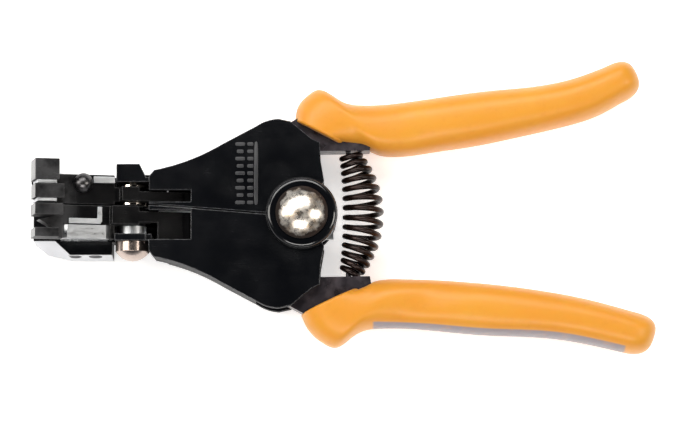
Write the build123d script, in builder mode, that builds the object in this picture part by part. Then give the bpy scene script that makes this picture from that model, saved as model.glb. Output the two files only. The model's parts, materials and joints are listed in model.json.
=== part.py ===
"""Compound-action wire stripper: two lapped body halves that spread, two jaws that close, two handles."""

import os
from math import asin, cos, hypot, radians, sin, sqrt

from build123d import *

os.makedirs("parts", exist_ok=True)

# The tool lies on z = 0 with its face up. The main pivot axis is Z through the origin, the head points
# along -X and the handles along +X. The gripping half is on the +Y side and the cutting half on -Y.
# Every size is in millimetres.

# Body halves
body_l = 42.6  # from the main pivot to the front edge of the body, where the head starts
body_back_z = 1.0  # underside of the back plates
body_front_z = 18.0  # face of the castings
plate = 3.0  # thickness of a back plate and of a casting's face
flank_wall = 2.4  # side wall of a casting
half_gap = 0.4  # gap along the seam between the two halves
lap_gap = 0.1  # gap between two lapped eyes
eye_r = 9.6  # lapped eye round the main pivot
eye_gap = 0.3  # round an eye, to the other half
shoulder_y = 10.4  # half height of the body at its front edge
flank_y = 26.5  # half height of the body at its widest
widest_x = -6.5  # where it is widest
waist_back = 20.4  # from the front edge to the hollow in the flank
waist_drop = 7.1  # of that hollow, under the widest height
rear_x = 5.2  # rear edge
wall_end_x = -13.0  # the side wall stops here and leaves room for the lever
split_y = 2.5  # seam between the two towers of the head
seam_end_x = -10.5  # here the seam has come back to the centre line

# Motion, which the two halves, the handles and the cam share
spread_angle = 5.0  # of each half
squeeze_ratio = 2.0  # a handle's turn on its half, for each degree of spread
open_angle = 14.0  # of the front jaws, at rest
cam_travel = 2.8

# Head, from the body forwards
tower_into_body = 4.3  # the tower blocks reach this far into the body
plate_gap = 0.3  # from there to the back plates
jaw_pin_l = 4.9  # from the body's front edge to the jaw pins
knuckle_l = 5.8  # from the jaw pins to the full-width arm
blade_margin = 1.3  # from there to the knives
blade_l = 13.2
finger_gap = 1.6  # from the knives to the fingers
finger_l = 6.8
tip_step = 0.7  # the rear jaws end this far behind the fingers' tips
tower_step = 1.1  # the rear jaws reach this far behind the full-width arm
tower_top_z = 9.2  # rear jaws
pocket_z = 6.8  # top of the tower under the jaw knuckles
jaw_gap = 0.2  # between a front jaw and its rear jaw when closed
ear_z = 16.5  # top of the walls that hold the jaw pins
side_gap = 0.2  # side clearance of moving pieces
jaw_pin_z = 10.8
jaw_pin_r = 2.0
knuckle_r = 3.6
running_gap = 0.06  # radial clearance of pins and studs
finger_h = 6.8  # height of the fingers over the jaw pin
arm_h = 3.2  # height of the jaw arm over the jaw pin
arm_y = 10.9  # outer edge of the arms
corner_y = (9.0, 14.8)  # the outer finger of the gripping half, and its rear jaw
tower_y = 12.0  # outer edge of the gripping half's tower
blade_wall_y = -7.4  # outer edge of the cutting half's tower behind the knives
flare = 1.0  # the cutting half's rear jaw stands out this far at its foot
flare_front = 2.4  # and this far forwards at its cut corner
flare_top_z = 8.0
tail_l = 15.5  # from the jaw pins to the ends of the tails
tail_t = 1.8  # thickness of the tails
window_gap = 0.4  # round the tails, in the body's face

# Cam
cam_contact = 8.0  # from jaw pin to cam follower
follower_h = 2.0  # height of the follower's centre over the jaw pin line
follower_r = 1.8
cam_gap = 0.3
slide_t = 1.6
slide_half_w = 6.2
slide_lead = 2.6  # the slide's front edge stands this far before the tails' ends
slide_rear_x = 8.8
wedge_bottom_z = 7.1
wedge_top_z = 11.5
wedge_l = 8.6
cam_pin_x = -11.5
cam_pin_r = 1.6
cam_pin_head = 0.6  # room between the cam pin and the casting's face

# Main pivot
stud_r = 4.0
boss_r = 10.0
boss_h = 2.4
boss_round = 1.4
dome_r = 7.3
dome_h = 3.6
dome_rim = 0.5
rear_washer_r = 7.5

# Handles
handle_pin_x = -9.0
pin_to_flank = 9.5  # from a handle pin to the body's widest height
handle_pin_r = 2.5
pin_into_face = 1.6  # the handle pins end this deep in the casting's face
hub_r = 5.5
lever_gap = 1.0  # between a lever and the plates over and under it
fork_w = 7.0
fork_clearance = 0.35
fork_lap = 0.2  # gap between the two lapped forks
fork_tip = 2.0  # a fork reaches this far past the cam pin's axis at full squeeze
handle_lean = 0.9  # degrees by which the +Y handle stands further out than the mean, and -Y less
grip_wall = 4.0  # grip over the lever
seat_l = 22.0  # from a handle pin to the return spring's seat, along the tool
shelf_h = 0.7  # height of the lever's shelf over its pin
peg_r = 0.75
peg_h = 1.6
spring_wire = 1.7
spring_end_r = 3.3
spring_mid_r = 5.9
spring_bow = 4.0  # how far the middle of the spring stands behind its ends

# Small fittings
plate_screw_r = 1.25
plate_screw_head_r = 2.5
plate_screw_l = 7.5  # past the back plate
screw_slot = (0.7, 0.8)  # width and depth
screw_boss_r = 2.7
blade_t = 2.0
blade_outer_y = -7.0
blade_floor_z = 4.0  # the rear knife stands on this
front_blade_w = 3.8
knife_proud = 0.25  # a knife's edge stands this far past its jaw
knife_gap = 0.1
notch_radii = (0.5, 0.7, 0.9, 1.1, 1.4)
notch_pitch = 2.4
blade_screw_r = 1.1
blade_screw_head_r = 1.9
blade_screw_head_t = 0.9
blade_screw_z = 6.2  # rear knife
blade_screw_h = 1.0  # front knife, over the jaw pin
blade_screw_l = 3.0  # past the knife
screw_sink = 2.9  # from a screw head's recess to the knife's outer face
washer_r = 3.9
spacer_y = -5.45  # outer edge of the cutting jaw's spacer
pin_head_r = 4.8
pin_head_t = 5.5
pin_head_rim = 2.8
knob_r = 2.7
knob_rim = 1.0
knob_h = 2.7
knob_y = 8.5
pad_l = 15.5
pad_t = 0.8
rear_pad_t = 1.0
rear_pad_y = (3.4, 8.2)
flange_spans = ((2.9, 3.8), (7.9, 8.9))
tooth_pitch = 1.25
tooth_depth = 0.45
keeper_t = 0.9
jaw_spring_r = 1.7
jaw_spring_wire = 0.5
jaw_spring_l = 2.3  # before the rear end of the full-width arm
jaw_spring_floor_z = 5.2
jaw_spring_y = {1: 5.0, -1: -0.5}

# Worked out from the sizes above
root_x = -body_l
tower_end_x = root_x + tower_into_body
plate_front_x = tower_end_x + plate_gap
jaw_pin_x = root_x - jaw_pin_l
arm_end_x = jaw_pin_x - knuckle_l
blade_rear_x = arm_end_x - blade_margin
blade_front_x = blade_rear_x - blade_l
finger_root_x = blade_front_x - finger_gap
tip_x = finger_root_x - finger_l
pad_front_x = tip_x + tip_step
pad_rear_x = pad_front_x + pad_l
tower_step_x = arm_end_x + tower_step
tail_end_x = jaw_pin_x + tail_l
knob_x = (blade_front_x + blade_rear_x) / 2 - 1.0
jaw_spring_x = arm_end_x - jaw_spring_l
slide_front_x = tail_end_x - slide_lead
wedge_rear_x = slide_front_x + wedge_l
handle_pin_y = flank_y - pin_to_flank
eye_t = (plate - lap_gap) / 2
front_plate_z = body_front_z - plate
back_plate_top = body_back_z + plate
lever_z0 = back_plate_top + lever_gap
lever_top_z = front_plate_z - lever_gap
lever_t = lever_top_z - lever_z0
jaw_low_h = tower_top_z + jaw_gap - jaw_pin_z  # underside of a closed front jaw, from its pin
lean = radians(handle_lean)
opened = radians(open_angle)
# The tails' ends swing out as they come up through the body's face, so the windows end past that.
tail_sweep = hypot(tail_l, finger_h)
window_end_x = jaw_pin_x + sqrt(tail_sweep**2 - (front_plate_z - jaw_pin_z) ** 2) + side_gap


# ---------------------------------------------------------------- shared outlines and planes
def seam_y(side):
    """Height of a half's edge at the head split."""
    return split_y + side * half_gap / 2


def half_outline(side, inset=0.0):
    """One body half in plan: seam, shoulder, flared flank, rear edge. inset moves all of it inwards."""

    def at(x, y):
        return (x, side * (y - inset))

    shoulder = at(root_x + 1.4, shoulder_y + 1.7)
    waist = at(root_x + waist_back, flank_y - waist_drop)
    slope_end = at(widest_x - 6.3, flank_y - 2.1)
    crown = at(widest_x, flank_y)
    with BuildSketch() as sketch:
        with BuildLine():
            Polyline(
                shoulder,
                at(root_x, shoulder_y),
                (root_x, seam_y(side) - side * inset),
                at(seam_end_x, half_gap / 2),
                at(0, half_gap / 2),
                at(4.0, 5.0),
                at(rear_x + 1.0, 9.2),
                at(rear_x, 15.0),
                at(rear_x - 0.2, flank_y - 6.6),
                at(rear_x - 2.4, flank_y - 5.6),
                at(widest_x + 3.3, flank_y - 0.7),
                crown,
            )
            ThreePointArc(crown, at(widest_x - 3.3, flank_y - 0.6), slope_end)
            Line(slope_end, waist)
            ThreePointArc(waist, at(root_x + waist_back / 2 + 0.4, flank_y - 11.8), shoulder)
        make_face()
    return sketch.sketch


def rectangle(x0, x1, y0, y1):
    """A rectangle between two corners."""
    with BuildSketch() as sketch:
        with Locations(((x0 + x1) / 2, (y0 + y1) / 2)):
            Rectangle(abs(x1 - x0), abs(y1 - y0))
    return sketch.sketch


def polygon(*points):
    """A closed polygon."""
    with BuildSketch() as sketch:
        with BuildLine():
            Polyline(*points, close=True)
        make_face()
    return sketch.sketch


def side_plane(y):
    """Upright plane at y. Sketches are drawn in X and Z, and extrude towards -Y."""
    return Plane(origin=(0, y, 0), x_dir=(1, 0, 0), z_dir=(0, -1, 0))


def jaw_side_plane(y):
    """The same, on a front jaw that stands open: its origin is the jaw pin."""
    return Plane(
        origin=(jaw_pin_x, y, jaw_pin_z), x_dir=(cos(opened), 0, -sin(opened)), z_dir=(0, -1, 0)
    )


def jaw_plan_plane(h):
    """Plan plane on an open front jaw, at height h over its pin. Its x is measured from the pin."""
    up = (sin(opened), 0, cos(opened))
    origin = (jaw_pin_x + h * up[0], 0, jaw_pin_z + h * up[2])
    return Plane(origin=origin, x_dir=(cos(opened), 0, -sin(opened)), z_dir=up)


def jaw_box(x0, x1, y0, y1):
    """Plan rectangle of a front jaw, given in the body's X and drawn from the jaw pin."""
    return rectangle(x0 - jaw_pin_x, x1 - jaw_pin_x, y0, y1)


def handle_point(side, dx, dy):
    """A point of a handle, given from its pin, leaned about the pin, on the given side."""
    turn = side * lean
    return (
        handle_pin_x + dx * cos(turn) - dy * sin(turn),
        side * (handle_pin_y + dx * sin(turn) + dy * cos(turn)),
    )


def handle_points(side, *points):
    """Several of them."""
    return [handle_point(side, dx, dy) for dx, dy in points]


def lever_outline(side):
    """The steel bar of a handle, from its hub to its end inside the grip."""
    shape = handle_points(
        side,
        (-1.5, hub_r - 0.2),
        (6.0, 9.0),
        (15.0, 14.0),
        (29.0, 10.2),
        (49.0, 11.6),
        (66.0, 13.2),
        (83.0, 15.2),
        (97.0, 20.2),
        (98.6, 16.0),
        (86.0, 11.2),
        (66.0, 7.6),
        (49.0, 5.6),
        (31.0, 4.6),
        (28.4, 3.4),
        (28.0, shelf_h),
        (rear_x - 0.4 - handle_pin_x, shelf_h),
        (4.0, 1.6 - hub_r),
    )
    return polygon(*shape)


def grip_outline(side):
    """A moulded grip: mouth, horn, waist, long belly and turned-up end. The two mouldings differ."""
    if side == 1:
        mouth = ((28.0, 0.8), (20.5, 2.8), (6.8, 10.3), (7.6, 14.0))
        horn = ((7.6, 14.0), (10.2, 16.9), (13.6, 19.0), (17.1, 17.4), (20.6, 14.9), (25.2, 14.0))
        outer = ((25.2, 14.0), (36.0, 14.4), (49.5, 16.1), (63.0, 17.6), (76.0, 18.7), (86.6, 20.6))
        heel = ((86.6, 20.6), (96.8, 24.4), (99.5, 25.0))
        end = ((99.5, 25.0), (103.6, 21.6), (102.4, 15.0))
        inner = (
            (102.4, 15.0),
            (93.2, 10.1),
            (83.0, 7.1),
            (69.6, 4.2),
            (56.0, 1.7),
            (46.0, 0.4),
            (35.9, -0.7),
        )
    else:
        mouth = ((29.2, 1.1), (27.2, 3.0), (8.2, 11.5), (9.0, 13.4))
        horn = (
            (9.0, 13.4),
            (11.4, 16.6),
            (14.6, 19.2),
            (18.2, 20.7),
            (22.2, 18.2),
            (25.6, 16.0),
            (29.0, 15.2),
        )
        outer = ((29.0, 15.2), (36.0, 15.2), (49.0, 16.4), (62.5, 17.7), (75.0, 18.2), (86.0, 19.2))
        heel = ((86.0, 19.2), (99.0, 23.2), (102.6, 24.0))
        end = ((102.6, 24.0), (107.6, 18.6), (103.2, 11.8))
        inner = (
            (103.2, 11.8),
            (93.0, 8.9),
            (86.2, 7.1),
            (76.1, 5.2),
            (66.0, 3.6),
            (56.0, 2.5),
            (36.0, 1.2),
        )
    lines = (mouth, horn, outer, heel, end, inner)
    mouth, horn, outer, heel, end, inner = [handle_points(side, *line) for line in lines]
    with BuildSketch() as sketch:
        with BuildLine():
            Polyline(*mouth)
            Spline(*horn)
            Spline(*outer)
            Polyline(*heel)
            ThreePointArc(*end)
            Spline(*inner)
            Line(inner[-1], mouth[0])
        make_face()
    return sketch.sketch


def turned(x, y, degrees):
    """A point turned about the origin."""
    angle = radians(degrees)
    return x * cos(angle) - y * sin(angle), x * sin(angle) + y * cos(angle)


def cam_pin_in_lever(share):
    """The cam pin from the handle pin, in the +Y lever's own frame, at a share of the full squeeze."""
    spread = share * spread_angle
    x, y = turned(cam_pin_x - share * cam_travel, 0, spread)
    return turned(x - handle_pin_x, y - handle_pin_y, squeeze_ratio * spread)


def dome_mid(radius, rise):
    """Middle of a round dome's profile, out from its axis and up from its rim."""
    ball = (radius**2 + rise**2) / (2 * rise)
    half_turn = asin(radius / ball) / 2
    return ball * sin(half_turn), rise - ball + ball * cos(half_turn)


def knife_notches(edge_h):
    """Half-round wire notches along a knife edge, smallest at the root."""
    first = blade_rear_x - notch_pitch * 0.75
    with BuildSketch() as sketch:
        for step, radius in enumerate(notch_radii):
            with Locations((first - step * notch_pitch, edge_h)):
                Circle(radius)
    return sketch.sketch


def write(part, name):
    """Label a finished piece and write it."""
    part.label = name
    export_step(part, f"parts/{name}.step")


# ---------------------------------------------------------------- main pivot
boss_z = body_front_z + lap_gap
dome_z = boss_z + boss_h

with BuildPart() as pivot_stud:
    Cylinder(stud_r, dome_z, align=(Align.CENTER, Align.CENTER, Align.MIN))
    with BuildSketch(Plane.XZ):
        with BuildLine():
            Polyline((0, dome_z + dome_h), (0, dome_z), (dome_r, dome_z), (dome_r, dome_z + dome_rim))
            mid_r, mid_h = dome_mid(dome_r, dome_h - dome_rim)
            ThreePointArc(
                (dome_r, dome_z + dome_rim), (mid_r, dome_z + dome_rim + mid_h), (0, dome_z + dome_h)
            )
        make_face()
    revolve(axis=Axis.Z)
write(pivot_stud.part, "pivot_stud")

with BuildPart() as pivot_boss:
    with BuildSketch(Plane.XY.offset(boss_z)):
        Circle(boss_r)
        Circle(stud_r + running_gap / 2, mode=Mode.SUBTRACT)
    extrude(amount=boss_h)
    top_edges = pivot_boss.edges().filter_by(GeomType.CIRCLE).group_by(Axis.Z)[-1]
    fillet(top_edges.sort_by(SortBy.RADIUS)[-1:], boss_round)
write(pivot_boss.part, "pivot_boss")

with BuildPart() as pivot_rear_washer:
    with BuildSketch():
        Circle(rear_washer_r)
        Circle(stud_r + running_gap / 2, mode=Mode.SUBTRACT)
    extrude(amount=body_back_z - lap_gap)
write(pivot_rear_washer.part, "pivot_rear_washer")


# ---------------------------------------------------------------- body halves
screw_points = ((root_x + 9.4, shoulder_y + 0.2), (root_x + waist_back + 0.7, flank_y - waist_drop - 5.2))
bearing_r = stud_r + running_gap
pin_hole_top = front_plate_z + pin_into_face

knuckle_y = {1: (3.6, 7.5), -1: (-3.0, seam_y(-1) - side_gap)}
tail_y = {1: (3.6, 6.2), -1: (-6.9, 0.6)}
follower_y = {1: tail_y[1], -1: (-2.4, tail_y[-1][1])}
tower_plans = {
    1: (
        polygon(
            (pad_front_x, seam_y(1)),
            (tower_step_x, seam_y(1)),
            (tower_step_x, arm_y),
            (finger_root_x, arm_y),
            (finger_root_x, corner_y[1]),
            (tip_x, corner_y[1]),
            (tip_x, corner_y[0]),
            (pad_front_x, corner_y[0]),
        ),
        rectangle(tower_step_x, tower_end_x, seam_y(1), tower_y),
        polygon(
            (jaw_pin_x - 4.3, knuckle_y[1][1] + 1.5),
            (jaw_pin_x - 4.3, tower_y + 2.0),
            (jaw_pin_x + 2.1, tower_y + 2.0),
            (jaw_pin_x + 3.9, shoulder_y - 0.2),
            (jaw_pin_x + 7.5, shoulder_y - 0.2),
            (jaw_pin_x + 7.5, knuckle_y[1][1] + 1.5),
        ),
    ),
    -1: (
        polygon(
            (pad_front_x, seam_y(-1)),
            (pad_front_x, blade_outer_y),
            (finger_root_x, blade_outer_y),
            (finger_root_x + 4.2, -arm_y),
            (arm_end_x, -arm_y),
            (arm_end_x, blade_wall_y),
            (tower_step_x, blade_wall_y),
            (tower_step_x, seam_y(-1)),
        ),
        rectangle(tower_step_x, tower_end_x, blade_wall_y, seam_y(-1)),
        rectangle(jaw_pin_x - 4.7, jaw_pin_x + 5.5, blade_wall_y, blade_wall_y + 1.9),
    ),
}
jaw_names = {1: "gripper", -1: "blade"}
blade_screw_xs = (blade_front_x + 3.8, blade_rear_x - 3.6)

frames = {}
for side in (1, -1):
    rear_jaw, tower_floor, ear = tower_plans[side]
    eye_z = body_front_z - eye_t if side == 1 else front_plate_z
    clear_z = front_plate_z if side == 1 else body_front_z - eye_t - lap_gap
    with BuildPart() as frame:
        with BuildSketch(Plane.XY.offset(front_plate_z)):
            add(half_outline(side))
        extrude(amount=plate)
        with BuildSketch(Plane.XY.offset(clear_z)):
            Circle(eye_r + eye_gap)
        extrude(amount=eye_t + lap_gap, mode=Mode.SUBTRACT)
        with BuildSketch(Plane.XY.offset(eye_z)):
            Circle(eye_r)
        extrude(amount=eye_t)
        with BuildSketch(Plane.XY.offset(back_plate_top)):
            add(half_outline(side))
            add(half_outline(side, flank_wall), mode=Mode.SUBTRACT)
            add(rectangle(wall_end_x, rear_x + 9, -2 * flank_y, 2 * flank_y), mode=Mode.SUBTRACT)
            add(rectangle(root_x, rear_x, seam_y(side) - side, seam_y(side) + 4 * side), mode=Mode.SUBTRACT)
        extrude(amount=front_plate_z - back_plate_top)
        with BuildSketch(Plane.XY.offset(back_plate_top)):
            with Locations(*[(x, side * y) for x, y in screw_points]):
                Circle(screw_boss_r)
        extrude(amount=front_plate_z - back_plate_top)
        with BuildSketch(Plane.XY.offset(body_back_z)):
            add(rear_jaw)
        extrude(amount=tower_top_z - body_back_z)
        if side == -1:
            for z, stand_out, forwards in ((body_back_z, flare, flare_front), (flare_top_z, 0, 0)):
                with BuildSketch(Plane.XY.offset(z)):
                    add(
                        polygon(
                            (pad_front_x, blade_outer_y + 1),
                            (pad_front_x, blade_outer_y - forwards / 4),
                            (finger_root_x - forwards, blade_outer_y - 1.4 * forwards),
                            (finger_root_x + 4.2, -arm_y - stand_out),
                            (arm_end_x, -arm_y - stand_out),
                            (arm_end_x, blade_outer_y + 1),
                        )
                    )
            loft()
        with BuildSketch(Plane.XY.offset(body_back_z)):
            add(tower_floor)
        extrude(amount=pocket_z - body_back_z)
        with BuildSketch(Plane.XY.offset(body_back_z)):
            add(ear)
        extrude(amount=ear_z - body_back_z)
        with BuildSketch(Plane.XY.offset(front_plate_z)):
            tail_low, tail_high = tail_y[side]
            add(rectangle(root_x - 1, window_end_x, tail_low - window_gap, tail_high + window_gap))
        extrude(amount=plate, mode=Mode.SUBTRACT)
        with BuildSketch(Plane.XY.offset(back_plate_top)):
            with Locations(*[(x, side * y) for x, y in screw_points]):
                Circle(plate_screw_r)
        extrude(amount=plate_screw_l + 0.5, mode=Mode.SUBTRACT)
        with BuildSketch(Plane.XY.offset(front_plate_z)):
            with Locations((handle_pin_x, side * handle_pin_y)):
                Circle(handle_pin_r)
        extrude(amount=pin_hole_top - front_plate_z, mode=Mode.SUBTRACT)
        with BuildSketch(Plane.XY):
            Circle(bearing_r)
        extrude(amount=body_front_z + 1, mode=Mode.SUBTRACT)
        with BuildSketch(Plane.XY.offset(jaw_spring_floor_z)):
            with Locations((jaw_spring_x, jaw_spring_y[side])):
                Circle(jaw_spring_r + side_gap)
        extrude(amount=tower_top_z, mode=Mode.SUBTRACT)
        with BuildSketch(side_plane(ear.bounding_box().max.Y + 1)):
            with Locations((jaw_pin_x, jaw_pin_z)):
                Circle(jaw_pin_r)
        extrude(amount=ear.bounding_box().size.Y + 2, mode=Mode.SUBTRACT)
        if side == 1:
            with BuildSketch(Plane.XY.offset(tower_top_z - rear_pad_t)):
                add(rectangle(pad_front_x, pad_rear_x, *rear_pad_y))
            extrude(amount=2 * rear_pad_t, mode=Mode.SUBTRACT)
        else:
            with BuildSketch(Plane.XY.offset(blade_floor_z)):
                add(rectangle(blade_front_x, blade_rear_x, blade_outer_y, blade_outer_y + blade_t))
            extrude(amount=tower_top_z, mode=Mode.SUBTRACT)
            with BuildSketch(side_plane(blade_outer_y)):
                with Locations(*[(x, blade_screw_z) for x in blade_screw_xs]):
                    Circle(blade_screw_r)
            extrude(amount=screw_sink + blade_t, mode=Mode.SUBTRACT)
            with BuildSketch(side_plane(blade_outer_y - screw_sink)):
                with Locations(*[(x, blade_screw_z) for x in blade_screw_xs]):
                    Circle(blade_screw_head_r)
            extrude(amount=screw_sink, mode=Mode.SUBTRACT)
    frames[side] = frame.part
write(frames[1], "gripper_frame")
write(frames[-1], "blade_frame")

for side in (1, -1):
    eye_z = body_back_z if side == 1 else body_back_z + eye_t + lap_gap
    clear_z = body_back_z + eye_t if side == 1 else body_back_z
    with BuildPart() as back_plate:
        with BuildSketch(Plane.XY.offset(body_back_z)):
            add(half_outline(side))
            add(rectangle(root_x - 1, plate_front_x, -flank_y, flank_y), mode=Mode.SUBTRACT)
        extrude(amount=plate)
        with BuildSketch(Plane.XY.offset(clear_z)):
            Circle(eye_r + eye_gap)
        extrude(amount=eye_t + lap_gap, mode=Mode.SUBTRACT)
        with BuildSketch(Plane.XY.offset(eye_z)):
            Circle(eye_r)
        extrude(amount=eye_t)
        with BuildSketch(Plane.XY):
            Circle(bearing_r)
            with Locations((handle_pin_x, side * handle_pin_y)):
                Circle(handle_pin_r)
        extrude(amount=body_front_z, mode=Mode.SUBTRACT)
        with Locations(*[Location((x, side * y, body_back_z), (180, 0, 0)) for x, y in screw_points]):
            CounterSinkHole(plate_screw_r, plate_screw_head_r, depth=plate + 1)
    write(back_plate.part, f"{jaw_names[side]}_back_plate")

    with BuildPart() as plate_screws:
        for x, y in screw_points:
            with BuildSketch(Plane.XZ.offset(-side * y)):
                with BuildLine():
                    Polyline(
                        (x, body_back_z),
                        (x + plate_screw_head_r, body_back_z),
                        (x + plate_screw_r, body_back_z + plate_screw_head_r - plate_screw_r),
                        (x + plate_screw_r, back_plate_top + plate_screw_l),
                        (x, back_plate_top + plate_screw_l),
                        close=True,
                    )
                make_face()
            revolve(axis=Axis((x, side * y, 0), (0, 0, 1)))
            with BuildSketch(Plane.XY.offset(body_back_z)):
                with Locations((x, side * y)):
                    Rectangle(plate_screw_head_r * 2, screw_slot[0], rotation=35 * side)
            extrude(amount=screw_slot[1], mode=Mode.SUBTRACT)
    write(plate_screws.part, f"{jaw_names[side]}_plate_screws")

    with BuildPart() as handle_pin:
        with BuildSketch(Plane.XY.offset(body_back_z)):
            with Locations((handle_pin_x, side * handle_pin_y)):
                Circle(handle_pin_r)
        extrude(amount=pin_hole_top - body_back_z)
    write(handle_pin.part, "upper_handle_pin" if side == 1 else "lower_handle_pin")


# ---------------------------------------------------------------- jaw pins, washers and spacers
pin_ends = {1: (seam_y(1) + 0.1, tower_y + 1.0), -1: (blade_wall_y, seam_y(-1))}

with BuildPart() as gripper_jaw_pin:
    with BuildSketch(side_plane(pin_ends[1][1])):
        with Locations((jaw_pin_x, jaw_pin_z)):
            Circle(jaw_pin_r)
    extrude(amount=pin_ends[1][1] - pin_ends[1][0])
write(gripper_jaw_pin.part, "gripper_jaw_pin")

pin_head_end_y = blade_wall_y - pin_head_t
pin_rim_y = blade_wall_y - pin_head_rim
with BuildPart() as blade_jaw_pin:
    with BuildSketch(Plane.XY.offset(jaw_pin_z)):
        with BuildLine():
            Polyline(
                (jaw_pin_x, pin_head_end_y),
                (jaw_pin_x, pin_ends[-1][1]),
                (jaw_pin_x + jaw_pin_r, pin_ends[-1][1]),
                (jaw_pin_x + jaw_pin_r, pin_ends[-1][0]),
                (jaw_pin_x + pin_head_r, pin_ends[-1][0]),
                (jaw_pin_x + pin_head_r, pin_rim_y),
            )
            mid_r, mid_h = dome_mid(pin_head_r, pin_rim_y - pin_head_end_y)
            ThreePointArc(
                (jaw_pin_x + pin_head_r, pin_rim_y),
                (jaw_pin_x + mid_r, pin_rim_y - mid_h),
                (jaw_pin_x, pin_head_end_y),
            )
        make_face()
    revolve(axis=Axis((jaw_pin_x, 0, jaw_pin_z), (0, 1, 0)))
write(blade_jaw_pin.part, "blade_jaw_pin")


def ring(outer_r, y_high, y_low):
    """Thrust washer or spacer on a jaw pin."""
    with BuildPart() as piece:
        with BuildSketch(side_plane(y_high)):
            with Locations((jaw_pin_x, jaw_pin_z)):
                Circle(outer_r)
                Circle(jaw_pin_r + running_gap / 2, mode=Mode.SUBTRACT)
        extrude(amount=y_high - y_low)
    return piece.part


with BuildPart() as gripper_jaw_washers:
    add(ring(washer_r, knuckle_y[1][0] - 0.1, knuckle_y[1][0] - 0.8))
    add(ring(washer_r, knuckle_y[1][1] + 0.9, knuckle_y[1][1] + 0.1))
write(gripper_jaw_washers.part, "gripper_jaw_washers")

write(ring(washer_r, knuckle_y[-1][0] - 0.15, spacer_y), "blade_jaw_spacer")


# ---------------------------------------------------------------- front jaws
tail_h = finger_h - tail_t
follower_top_h = tail_h + 0.2
front_blade_y = (blade_outer_y, blade_outer_y + front_blade_w)

jaw_blocks = {
    # x from, x to, y from, y to, height from, height to
    1: (
        (finger_root_x - 0.6, arm_end_x, seam_y(1), arm_y, jaw_low_h, arm_h),
        (arm_end_x, jaw_pin_x, *knuckle_y[1], jaw_low_h, arm_h),
        (tip_x, finger_root_x, *corner_y, jaw_low_h, finger_h),
        (tip_x, finger_root_x + 1.4, 3.9, 7.8, jaw_low_h, finger_h),
        (jaw_pin_x - 4.3, jaw_pin_x + 0.6, *knuckle_y[1], arm_h - 1, finger_h),
        (jaw_pin_x - 2, tail_end_x, *tail_y[1], tail_h, finger_h),
        (jaw_pin_x, jaw_pin_x + 4.5, *follower_y[1], 1.0, follower_top_h),
    ),
    -1: (
        (finger_root_x - 0.6, arm_end_x, blade_outer_y, seam_y(-1), jaw_low_h, arm_h),
        (arm_end_x, jaw_pin_x, *knuckle_y[-1], jaw_low_h, arm_h),
        (tip_x, finger_root_x + 1.1, -0.8, seam_y(-1), jaw_low_h, finger_h),
        (tip_x, finger_root_x, blade_outer_y, -4.5, jaw_low_h, finger_h),
        (blade_rear_x, jaw_pin_x + 0.6, *knuckle_y[-1], arm_h - 1, finger_h),
        (jaw_pin_x - 2, tail_end_x, *follower_y[-1], tail_h, finger_h),
        (root_x + 0.9, tail_end_x, *tail_y[-1], tail_h, finger_h),
        (jaw_pin_x, jaw_pin_x + 4.5, *follower_y[-1], 1.0, follower_top_h),
    ),
}

front_jaws = {}
for side in (1, -1):
    with BuildPart() as jaw:
        for x0, x1, y0, y1, h0, h1 in jaw_blocks[side]:
            with BuildSketch(jaw_plan_plane(h0)):
                add(jaw_box(x0, x1, y0, y1))
            extrude(amount=h1 - h0)
        with BuildSketch(jaw_side_plane(knuckle_y[side][1])):
            Circle(knuckle_r)
        extrude(amount=knuckle_y[side][1] - knuckle_y[side][0])
        with BuildSketch(jaw_side_plane(follower_y[side][1])):
            with Locations((cam_contact, follower_h)):
                Circle(follower_r)
            add(rectangle(cam_contact - 1.4, cam_contact + 1.4, follower_h, follower_top_h))
        extrude(amount=follower_y[side][1] - follower_y[side][0])
        with BuildSketch(jaw_side_plane(knuckle_y[side][1] + 1)):
            Circle(jaw_pin_r + running_gap)
        extrude(amount=knuckle_y[side][1] - knuckle_y[side][0] + 2, mode=Mode.SUBTRACT)
        if side == 1:
            with BuildSketch(jaw_plan_plane(jaw_low_h)):
                add(jaw_box(tip_x, pad_rear_x, flange_spans[0][0], flange_spans[1][1]))
            extrude(amount=pad_t, mode=Mode.SUBTRACT)
            with BuildSketch(jaw_plan_plane(jaw_low_h)):
                with Locations((knob_x - jaw_pin_x, knob_y)):
                    Circle(blade_screw_r)
            extrude(amount=arm_h - jaw_low_h, mode=Mode.SUBTRACT)
        else:
            with BuildSketch(jaw_plan_plane(jaw_low_h)):
                add(
                    polygon(
                        (tip_x + 1.7 - jaw_pin_x, -1.9),
                        (finger_root_x - 0.5 - jaw_pin_x, -0.8),
                        (finger_root_x - 0.5 - jaw_pin_x, -4.5),
                    )
                )
            extrude(amount=arm_h - jaw_low_h)
            with BuildSketch(jaw_plan_plane(jaw_low_h - 1)):
                add(jaw_box(blade_front_x, blade_rear_x, *front_blade_y))
            extrude(amount=finger_h, mode=Mode.SUBTRACT)
            with BuildSketch(jaw_side_plane(front_blade_y[1] + blade_screw_l)):
                with Locations(*[(x - jaw_pin_x, blade_screw_h) for x in blade_screw_xs]):
                    Circle(blade_screw_r)
            extrude(amount=blade_screw_l, mode=Mode.SUBTRACT)
    front_jaws[side] = jaw.part
write(front_jaws[1], "gripper_front_jaw")
write(front_jaws[-1], "blade_front_jaw")

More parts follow.
